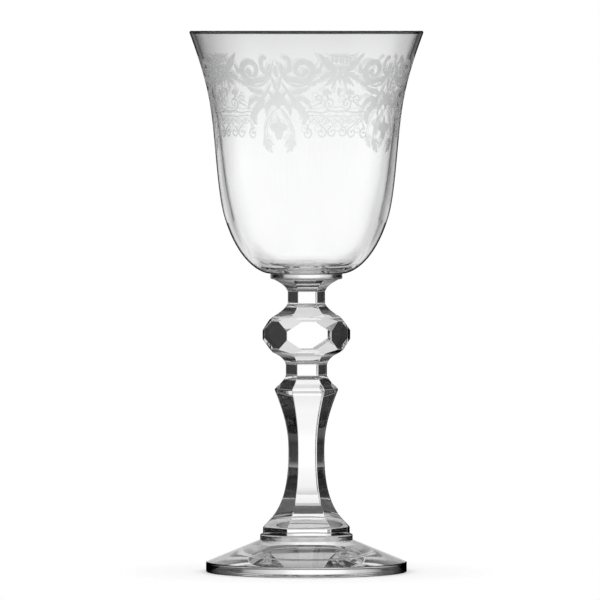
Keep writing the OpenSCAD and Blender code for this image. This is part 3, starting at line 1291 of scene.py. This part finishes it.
@dataclass
class Stem(GlassPiece):
    """Pressed six-sided stem: base band, baluster, two necks and a faceted knop."""

    node: str = "stem"
    panels: int = 6
    base_r: float = 10.1
    base_band_h: float = 1.55
    base_flare_h: float = 17.3
    waist_r: float = 4.2
    baluster_h: float = 14.45
    shoulder_r: float = 7.4
    shoulder_slope_h: float = 3.35
    lower_neck_r: float = 4.8
    lower_neck_h: float = 2.5
    knop_under_h: float = 3.6
    knop_flat_h: float = 6.65
    knop_corner_h: float = 1.9
    knop_corner_slope: float = 0.76
    knop_over_h: float = 3.95
    upper_neck_r: float = 4.35
    upper_neck_h: float = 2.7
    top_r: float = 7.7
    base_flare_shares: tuple = ((0, 0.78), (0.76, 0.88))
    baluster_shares: tuple = ((0, 0.24), (0.05, 0.48))
    shoulder_slope_shares: tuple = ((0.37, 0.65), (0.95, 0.75))
    knop_under_shares: tuple = ((0.06, 0.2), (0.07, 0.6))
    knop_over_shares: tuple = ((0, 0.1), (0.3, 0.74))
    top_flare_shares: tuple = ((0.16, 0.34), (0.16, 0.48))
    edge_round: float = 0.25
    crease_round: float = 0.22
    fillet_points: int = 5
    least_facet: float = 0.004
    long_steps: int = 60
    short_steps: int = 40
    fine_levels: int = 2400
    longest_step: float = 0.8
    most_turn_deg: float = 3.0

    @property
    def knop_middle(self) -> float:
        """Add up the heights below the middle of the knop's flats.

        Returns:
            Its level.
        """
        heights = (
            self.base_band_h, self.base_flare_h, self.baluster_h, self.shoulder_slope_h,
            self.lower_neck_h, self.knop_under_h,
        )
        return self.box.bottom + sum(heights) + self.knop_flat_h / 2

    def outline(self) -> np.ndarray:
        """Draw how far the corners reach at every break and along every curve.

        Returns:
            Radius and height of each point, from the base up.
        """
        z, long, short = self.box.bottom, self.long_steps, self.short_steps
        band = (self.base_r, z + self.base_band_h)
        waist = (self.waist_r, band[1] + self.base_flare_h)
        shoulder = (self.shoulder_r, waist[1] + self.baluster_h)
        neck = (self.lower_neck_r, shoulder[1] + self.shoulder_slope_h)
        neck_top = (self.lower_neck_r, neck[1] + self.lower_neck_h)
        knop_r = self.box.radius
        knop_low = (knop_r, neck_top[1] + self.knop_under_h)
        knop_high = (knop_r, knop_low[1] + self.knop_flat_h)
        high_neck = (self.upper_neck_r, knop_high[1] + self.knop_over_h)
        high_neck_top = (self.upper_neck_r, high_neck[1] + self.upper_neck_h)
        top = (self.top_r, self.box.top)
        return np.vstack([
            [(self.base_r, z)],
            bend(waist, band, self.base_flare_shares, long)[::-1],
            bend(waist, shoulder, self.baluster_shares, long)[1:],
            bend(neck, shoulder, self.shoulder_slope_shares, short)[::-1][1:],
            bend(neck_top, knop_low, self.knop_under_shares, short),
            bend(high_neck, knop_high, self.knop_over_shares, short)[::-1],
            bend(high_neck_top, top, self.top_flare_shares, short),
        ])

    def softened(self, levels: np.ndarray, values: np.ndarray) -> np.ndarray:
        """Round the breaks of a value along the stem by a short running mean.

        Args:
            levels: Evenly spaced levels.
            values: The value at each level.

        Returns:
            The rounded values; both ends keep theirs.
        """
        reach = max(1, round(self.crease_round / (levels[1] - levels[0])))
        kernel = np.hanning(2 * reach + 3)[1:-1]
        kernel /= kernel.sum()
        padded = np.concatenate([
            2 * values[0] - values[reach:0:-1], values, 2 * values[-1] - values[-2:-reach - 2:-1]
        ])
        return np.convolve(padded, kernel, mode="valid")

    def sections(self) -> tuple[np.ndarray, np.ndarray, np.ndarray]:
        """Work out the six-sided section at every fine level.

        Returns:
            The levels, and the panels' and the corners' distances from the axis there.
        """
        half = math.pi / self.panels
        outline = self.outline()
        levels = np.linspace(self.box.bottom, self.box.top, self.fine_levels)
        panel = self.softened(levels, np.interp(levels, outline[:, 1], outline[:, 0])) * math.cos(half)
        beyond = np.maximum(0, np.abs(levels - self.knop_middle) - self.knop_corner_h / 2)
        cut = self.softened(levels, self.box.radius - self.knop_corner_slope * beyond)
        far = np.abs(levels - self.knop_middle) > self.knop_flat_h
        cut[far] = self.box.radius
        sharp = self.edge_round + (panel - self.edge_round) / math.cos(half)
        return levels, panel, np.minimum(cut, sharp - self.least_facet)

    def cap_radii(self, at_base: bool) -> np.ndarray:
        """Outline of the stem's end face, for the disc that it stands on or carries.

        Args:
            at_base: Whether the lower end is meant.

        Returns:
            Distance from the axis at every step.
        """
        _, panel, corner = self.sections()
        end = 0 if at_base else -1
        pitch = 2 * math.pi / self.panels
        angle = np.arange(AROUND) * 2 * math.pi / AROUND
        from_corner = (angle + pitch / 2) % pitch - pitch / 2
        from_panel = angle % pitch - pitch / 2
        return np.minimum(panel[end] / np.cos(from_panel), corner[end] / np.cos(from_corner))

    def kept_levels(self, levels: np.ndarray, values: Sequence[np.ndarray]) -> np.ndarray:
        """Choose levels so that the slope turns little between them.

        Args:
            levels: The fine, evenly spaced levels.
            values: Panel and corner distances at them.

        Returns:
            The places of the kept levels.
        """
        step = levels[1] - levels[0]
        effort = np.full(len(levels), step / self.longest_step)
        for value in values:
            slope = np.arctan(np.gradient(value, step))
            effort += np.abs(np.gradient(slope)) / math.radians(self.most_turn_deg)
        total = np.cumsum(effort)
        count = int(total[-1])
        places = np.searchsorted(total, np.linspace(total[0], total[-1], count))
        return np.unique(np.clip(places, 0, len(levels) - 1))

    def finishes(self) -> dict[Surface, Finish]:
        """Finish of each kind of face."""
        return {Surface.CLEAR: PRESSED, Surface.SEAT: PLAIN_SEAT}

    def draft(self) -> MeshDraft:
        """Lay out the mesh, ring by ring, with flat panels and rounded edges.

        Returns:
            The closed mesh.
        """
        levels, panel, corner = self.sections()
        step = levels[1] - levels[0]
        panel_slope, corner_slope = np.gradient(panel, step), np.gradient(corner, step)
        kept = self.kept_levels(levels, (panel, corner))
        half = math.pi / self.panels
        draft = MeshDraft()
        normals: list[tuple[float, float, float]] = []
        for i in kept:
            for corner_at in range(self.panels):
                facing = 2 * half * corner_at
                for side in (-1, 1):
                    self.fillet(
                        draft, normals, facing, side, levels[i],
                        (panel[i], corner[i]), (panel_slope[i], corner_slope[i]),
                    )
        count = self.panels * 2 * self.fillet_points
        for i in range(len(kept) - 1):
            for j in range(count):
                k = (j + 1) % count
                ring = [i * count + j, i * count + k, (i + 1) * count + k, (i + 1) * count + j]
                draft.add_face(ring, [normals[c] for c in ring], Surface.CLEAR)
        top = (len(kept) - 1) * count
        draft.add_face(range(count - 1, -1, -1), [(0, 0, -1)] * count, Surface.SEAT)
        draft.add_face(range(top, top + count), [(0, 0, 1)] * count, Surface.SEAT)
        return draft

    def fillet(
        self,
        draft: MeshDraft,
        normals: list[tuple[float, float, float]],
        facing: float,
        side: int,
        level: float,
        distances: tuple[float, float],
        slopes: tuple[float, float],
    ) -> None:
        """Add the points of one rounded edge between a panel and a corner facet.

        Args:
            draft: The mesh so far.
            normals: Normals of its vertices, added to.
            facing: Direction of the corner, in radians.
            side: -1 for the edge before the corner and 1 for the one after it.
            level: Height of the ring.
            distances: Of the panel and the corner facet from the axis.
            slopes: How fast both change with height.
        """
        half = math.pi / self.panels
        inner = np.array(distances) - self.edge_round
        for share in np.linspace(0, 1, self.fillet_points)[::side]:
            turn = facing + side * half * share
            place = self.meet(facing, side * half, inner)
            drift = self.meet(facing, side * half, np.array(slopes))
            out = np.array([math.cos(turn), math.sin(turn)])
            point = place + self.edge_round * out
            normal = np.array([out[0], out[1], -float(drift @ out)])
            normal /= np.linalg.norm(normal)
            draft.points.append((float(point[0]), float(point[1]), float(level)))
            normals.append(tuple(float(v) for v in normal))

    def meet(self, facing: float, to_panel: float, distances: np.ndarray) -> np.ndarray:
        """Where the lines of a panel and a corner facet meet.

        Args:
            facing: Direction of the facet, in radians.
            to_panel: Turn from it to the panel's direction.
            distances: Of the panel and the facet from the axis.

        Returns:
            The meeting point.
        """
        panel_way = (math.cos(facing + to_panel), math.sin(facing + to_panel))
        facet_way = (math.cos(facing), math.sin(facing))
        return np.linalg.solve(np.array([panel_way, facet_way]), distances)


@dataclass
class Collar(GlassPiece):
    """Thin round disc of glass that joins the stem to another piece."""

    node: str
    low_round: float
    high_round: float
    stem_above: bool
    seat: Finish
    edge: Finish
    round_steps: int = 8

    @property
    def flat_radius(self) -> float:
        """Radius of the flat face away from the stem."""
        return self.box.radius - (self.low_round if self.stem_above else self.high_round)

    def spans(self) -> list[Span]:
        """Draw the outline from the middle of the underside to the middle of the top.

        Returns:
            The stretches of the outline.
        """
        low, high, radius = self.box.bottom, self.box.top, self.box.radius
        low_r, high_r = radius - self.low_round, radius - self.high_round
        low_side, high_side = low + self.low_round, high - self.high_round
        stem_radii = Stem().cap_radii(at_base=self.stem_above)
        stem_r = stem_radii[0]
        side = [
            Span(arc((low_r, low_side), self.low_round, -90, 0, self.round_steps)),
            Span(np.array([(radius, low_side), (radius, high_side)]), Surface.EDGE),
            Span(arc((high_r, high_side), self.high_round, 0, 90, self.round_steps)),
        ]
        if self.stem_above:
            return [
                Span(np.array([(0, low), (low_r, low)]), Surface.SEAT),
                *side,
                Span(np.array([(high_r, high), (stem_r, high)]), Surface.CLEAR, stem_radii),
                Span(np.array([(stem_r, high), (0, high)]), Surface.SEAT),
            ]
        return [
            Span(np.array([(0, low), (stem_r, low)]), Surface.SEAT, stem_radii),
            Span(np.array([(stem_r, low), (low_r, low)])),
            *side,
            Span(np.array([(high_r, high), (0, high)]), Surface.SEAT),
        ]

    def finishes(self) -> dict[Surface, Finish]:
        """Finish of each kind of face."""
        return {Surface.CLEAR: PRESSED, Surface.SEAT: self.seat, Surface.EDGE: self.edge}


def foot_collar() -> Collar:
    """The disc under the stem, nearly sharp where it runs out into the foot."""
    return Collar(
        "foot_collar", low_round=0.08, high_round=0.35, stem_above=True, seat=PLAIN_SEAT, edge=LOW_DISC_EDGE_SHADE
    )


def bowl_collar() -> Collar:
    """The disc on top of the stem, nearly sharp where it meets the bowl."""
    return Collar(
        "bowl_collar", low_round=0.35, high_round=0.12, stem_above=False, seat=BOWL_SEAT_SHADE, edge=HIGH_DISC_EDGE_SHADE
    )


@dataclass(frozen=True)
class StudioWalls:
    """What the glass sees round it, as tones by angle from the line of sight.

    A white panel stands behind, dark boards stand at the slanting sides and the rest
    of the room is grey. Each curve gives angle and tone, from the lowest to the highest,
    and takes over from the one before between two angles of rise.
    """

    around: float = 180.0
    lower: tuple = (
        (0, 0.72), (10, 0.7), (15, 0.66), (21, 0.82), (32, 0.8), (48, 0.72), (60, 0.6), (72, 0.66),
        (82, 0.8), (180, 0.82),
    )
    stoop: tuple = (
        (0, 0.98), (9, 0.95), (14, 0.8), (20, 0.7), (27, 0.55), (33, 0.45), (38, 0.3), (47, 0.4),
        (56, 0.6), (66, 0.7), (80, 0.86), (180, 0.86),
    )
    level: tuple = (
        (0, 1.05), (9, 1.04), (14, 0.82), (20, 0.7), (27, 0.58), (32, 0.36), (36, 0.02), (50, 0.02),
        (58, 0.06), (66, 0.16), (73, 0.35), (79, 0.85), (101, 0.85), (108, 0.4), (135, 0.3), (150, 0.3),
        (165, 0.3), (173, 0.45), (180, 0.5),
    )
    raised: tuple = (
        (0, 1.0), (8, 0.92), (14, 0.62), (20, 0.56), (26, 0.42), (32, 0.22), (36, 0.02), (54, 0.0),
        (60, 0.06), (66, 0.16), (74, 0.24), (82, 0.48), (110, 0.4), (130, 0.25), (150, 0.2), (165, 0.1),
        (180, 0.3),
    )
    high: tuple = (
        (0, 0.7), (8, 0.8), (14, 0.66), (20, 0.78), (26, 0.56), (32, 0.34), (38, 0.03), (50, 0.02),
        (58, 0.2), (66, 0.36), (80, 0.42), (100, 0.5), (112, 0.55), (130, 0.4), (150, 0.3), (165, 0.2),
        (180, 0.15),
    )
    top: tuple = (
        (0, 0.5), (8, 0.45), (14, 0.4), (20, 0.38), (30, 0.3), (38, 0.06), (56, 0.08), (80, 0.26),
        (110, 0.4), (130, 0.2), (150, 0.28), (180, 0.42),
    )
    zenith: tuple = ((0, 0.02), (12, 0.04), (20, 0.3), (60, 0.2), (130, 0.15), (165, 0.35), (180, 0.33))
    stoop_rise: tuple = (-20, -13)
    level_rise: tuple = (-8.5, -5)
    raised_rise: tuple = (1, 8)
    high_rise: tuple = (14, 24)
    top_rise: tuple = (27, 38)
    zenith_rise: tuple = (44, 56)

    def tone(
        self, graph: Graph, side: bpy.types.NodeSocket, rise: bpy.types.NodeSocket
    ) -> bpy.types.NodeSocket:
        """Join the curves into one tone.

        Args:
            graph: The world's nodes.
            side: Angle from the line of sight to the side, in degrees.
            rise: Angle above the level, in degrees.

        Returns:
            The tone that the glass sees.
        """
        tone = graph.ramp(side, self.lower, self.around)
        for curve, between in (
            (self.stoop, self.stoop_rise),
            (self.level, self.level_rise),
            (self.raised, self.raised_rise),
            (self.high, self.high_rise),
            (self.top, self.top_rise),
            (self.zenith, self.zenith_rise),
        ):
            tone = graph.mix(graph.smooth(rise, *between), tone, graph.ramp(side, curve, self.around))
        return tone


@dataclass
class Studio:
    """White to the camera, and toned for the glass, which draws its edges with it.

    Lengths are in millimetres, from the glass's axis and its resting face.
    """

    walls: StudioWalls = field(default_factory=StudioWalls)
    floor_radius: float = 50.0
    floor_sides: int = 96
    floor_drop: float = 0.03
    floor_roughness: float = 0.9
    # painted shadow: the floor's colour is darker under the foot, pale and even beyond it
    floor_tones_and_painted_shadow: tuple = ((0, 0.55), (4, 0.5), (8, 0.22), (12, 0.3), (15, 0.9), (23, 0.9), (50, 0.9))
    # even lift that makes the floor white, plus a painted glowing ring of light under the foot's cone
    floor_lift_and_painted_glow: tuple = (
        (0, 0.13), (11, 0.13), (15, 0.42), (21, 0.42), (24, 0.13), (34, 0.135), (50, 0.172),
    )
    card_start: float = 24.0
    card_reach: float = 180.0
    card_near: tuple = (105.0, 120.0)
    card_facing: tuple = (0.585, 0.64)
    card_sides: tuple = (25.0, 82.0)
    card_turns: int = 13
    card_tone: float = 0.025
    view_turn_deg: float = VIEW_TURN_DEG
    scrim_away: float = 40.0
    scrim_levels: tuple = (84.0, 165.0)
    scrim_half: float = 110.0
    scrim_facing: tuple = (0.2, 0.33)
    scrim_axis: float = 3.0
    scrim_sides: tuple = (14.0, 40.0)
    scrim_middle: tuple = (
        (0, 1), (88, 1.0), (98, 0.97), (104, 0.93), (112, 0.88), (118, 0.83), (122, 0.78), (125, 0.73),
        (165, 0.7),
    )
    scrim_edge: tuple = (
        (0, 1), (88, 1), (93, 0.94), (99, 0.72), (105, 0.42), (111, 0.26), (118, 0.22), (165, 0.2),
    )

    def build(self) -> None:
        """Make the floor, the two low cards, the cloth behind the bowl and the world."""
        self.floor()
        for side in (1, -1):
            self.card(side)
        self.scrim()
        self.world()

    def sheet(
        self, name: str, points: Sequence[Sequence[float]], faces: Sequence[Sequence[int]]
    ) -> tuple[bpy.types.Object, Graph]:
        """Add a thin studio piece with a material of its own.

        Args:
            name: Name of the piece.
            points: Its vertices.
            faces: Its faces.

        Returns:
            The piece and the graph of its material.
        """
        mesh = bpy.data.meshes.new(name)
        mesh.from_pydata([tuple(v * MM for v in p) for p in points], [], faces)
        piece = bpy.data.objects.new(name, mesh)
        bpy.context.scene.collection.objects.link(piece)
        material = bpy.data.materials.new(name)
        material.use_nodes = True
        mesh.materials.append(material)
        return piece, Graph(material.node_tree)

    def floor(self) -> None:
        """Make the floor, which keeps the object's shadow, is painted darker under the foot as shadow, glows
        in a painted ring of light under the foot's cone, and fades to white.
        """
        radius, count = self.floor_radius, self.floor_sides
        turns = [2 * math.pi * j / count for j in range(count)]
        rim = [(radius * math.cos(t), radius * math.sin(t), -self.floor_drop) for t in turns]
        _, graph = self.sheet("studio_floor", rim, [tuple(range(count))])
        reach = graph.reach_mm()
        paint = graph.nodes["Principled BSDF"]
        # painted shadow under the foot, from the tone ramp
        graph.put(paint.inputs["Base Color"], graph.ramp(reach, self.floor_tones_and_painted_shadow, radius))
        paint.inputs["Roughness"].default_value = self.floor_roughness
        paint.inputs["Specular IOR Level"].default_value = 0.0
        lift = graph.nodes.new("ShaderNodeEmission")
        # painted light: a brighter ring under the foot's cone, on top of the even lift
        glow = graph.ramp(reach, self.floor_lift_and_painted_glow, radius)
        graph.put(lift.inputs["Strength"], graph.math("MULTIPLY", graph.shows(), glow))
        both = graph.nodes.new("ShaderNodeAddShader")
        graph.put(both.inputs[0], paint.outputs["BSDF"])
        graph.put(both.inputs[1], lift.outputs["Emission"])
        graph.put(graph.nodes["Material Output"].inputs["Surface"], both.outputs[0])

    def card(self, side: int) -> None:
        """Lay a dark card on the table behind the glass, which only the glass shows.

        Args:
            side: 1 for the right of the line of sight, -1 for the left.
        """
        first, last = self.card_sides
        count = self.card_turns
        turns = np.radians(np.linspace(side * first, side * last, count))
        points = [
            (radius * math.sin(t), radius * math.cos(t), -self.floor_drop / 2)
            for radius in (self.card_start, self.card_reach) for t in turns
        ]
        faces = [(i, i + 1, i + count + 1, i + count) for i in range(count - 1)]
        graph = self.veil("studio_card", points, faces)
        far = graph.smooth(graph.reach_mm(), *self.card_near)
        steep = graph.math("SUBTRACT", 1.0, graph.smooth(graph.facing(), *self.card_facing))
        graph.let_through(graph.mix(graph.math("MULTIPLY", far, steep), self.card_tone, 1.0))

    def scrim(self) -> None:
        """Hang a graded cloth behind the bowl, which grows denser towards the rim."""
        low, high = self.scrim_levels
        points = [
            (side * self.scrim_half, self.scrim_away, z)
            for side, z in ((-1, low), (1, low), (1, high), (-1, high))
        ]
        graph = self.veil("studio_scrim", points, [(0, 1, 2, 3)], self.view_turn_deg)
        x, _, z = graph.parts(graph.place())
        from_axis = graph.math("SUBTRACT", x, self.scrim_axis * MM)
        side = graph.math("DIVIDE", graph.math("ABSOLUTE", from_axis), MM)
        height = graph.math("DIVIDE", z, MM)
        middle = graph.ramp(height, self.scrim_middle, high)
        edge = graph.ramp(height, self.scrim_edge, high)
        tone = graph.mix(graph.smooth(side, *self.scrim_sides), middle, edge)
        graph.let_through(graph.mix(graph.smooth(graph.facing(), *self.scrim_facing), tone, 1.0))

    def veil(
        self,
        name: str,
        points: Sequence[Sequence[float]],
        faces: Sequence[Sequence[int]],
        turn_deg: float = 0.0,
    ) -> Graph:
        """Add a thin studio cloth that dims only what the glass shows.

        Args:
            name: Name of the piece.
            points: Its vertices.
            faces: Its faces.
            turn_deg: How far it is turned about the upright axis.

        Returns:
            The graph of its material.
        """
        piece, graph = self.sheet(name, points, faces)
        piece.rotation_euler.z = math.radians(turn_deg)
        piece.visible_camera = False
        piece.visible_diffuse = False
        piece.visible_shadow = False
        return graph

    def world(self) -> None:
        """Make the surroundings: white to the camera, the studio to the glass."""
        world = bpy.data.worlds.new("studio")
        bpy.context.scene.world = world
        world.use_nodes = True
        world.node_tree.nodes.clear()
        graph = Graph(world.node_tree)
        x, y, z = graph.parts(graph.place("Generated"))
        degrees = math.degrees(1)
        side = graph.math("MULTIPLY", graph.math("ARCTAN2", graph.math("ABSOLUTE", x), y), degrees)
        rise = graph.math("MULTIPLY", graph.math("ARCSINE", z), degrees)
        back = graph.nodes.new("ShaderNodeBackground")
        back.inputs["Color"].default_value = (1, 1, 1, 1)
        tone = self.walls.tone(graph, side, rise)
        graph.put(back.inputs["Strength"], graph.mix(graph.by_glass(), 1.0, tone))
        out = graph.nodes.new("ShaderNodeOutputWorld")
        graph.put(out.inputs["Surface"], back.outputs[0])


@dataclass
class PhotoCamera:
    """Camera at the photograph's viewing angle, level with the rim."""

    distance: float = 1.93
    turn_deg: float = VIEW_TURN_DEG
    view_deg: float = 4.11
    aim_z: float = 62.8 * MM
    aim_left: float = 1.48 * MM
    sensor_mm: float = 36.0

    def build(self) -> bpy.types.Object:
        """Make the camera and set it as the scene's.

        Returns:
            The camera.
        """
        data = bpy.data.cameras.new("photo_camera")
        data.sensor_width = self.sensor_mm
        data.lens = data.sensor_width / 2 / math.tan(math.radians(self.view_deg) / 2)
        camera = bpy.data.objects.new("photo_camera", data)
        bpy.context.scene.collection.objects.link(camera)
        turn = math.radians(self.turn_deg)
        back = Vector((math.sin(turn), -math.cos(turn), 0))
        right = Vector((math.cos(turn), math.sin(turn), 0))
        camera.location = back * self.distance + Vector((0, 0, CAD_BOX[1].z))
        aim = Vector((0, 0, self.aim_z)) - right * self.aim_left
        camera.rotation_mode = "QUATERNION"
        camera.rotation_quaternion = (aim - camera.location).to_track_quat("-Z", "Y")
        bpy.context.scene.camera = camera
        return camera


@dataclass(frozen=True)
class LightPaths:
    """How often light may turn on its way through the glass."""

    most: int = 32
    mirrored: int = 16
    crossing: int = 64

    def set(self, scene: bpy.types.Scene) -> None:
        """Give the numbers to a scene.

        Args:
            scene: The scene.
        """
        scene.cycles.max_bounces = self.most
        scene.cycles.transmission_bounces = self.most
        scene.cycles.glossy_bounces = self.mirrored
        scene.cycles.transparent_max_bounces = self.crossing


def main() -> None:
    """Build the studio and every piece of the glass."""
    logging.basicConfig(level=logging.INFO, format="%(name)s: %(message)s")
    scene = bpy.context.scene
    scene.view_settings.view_transform = "Standard"
    LightPaths().set(scene)
    PhotoCamera().build()
    Studio().build()
    for piece in (Foot(), foot_collar(), Stem(), bowl_collar(), Bowl()):
        piece.build()


if __name__ == "__main__":
    main()
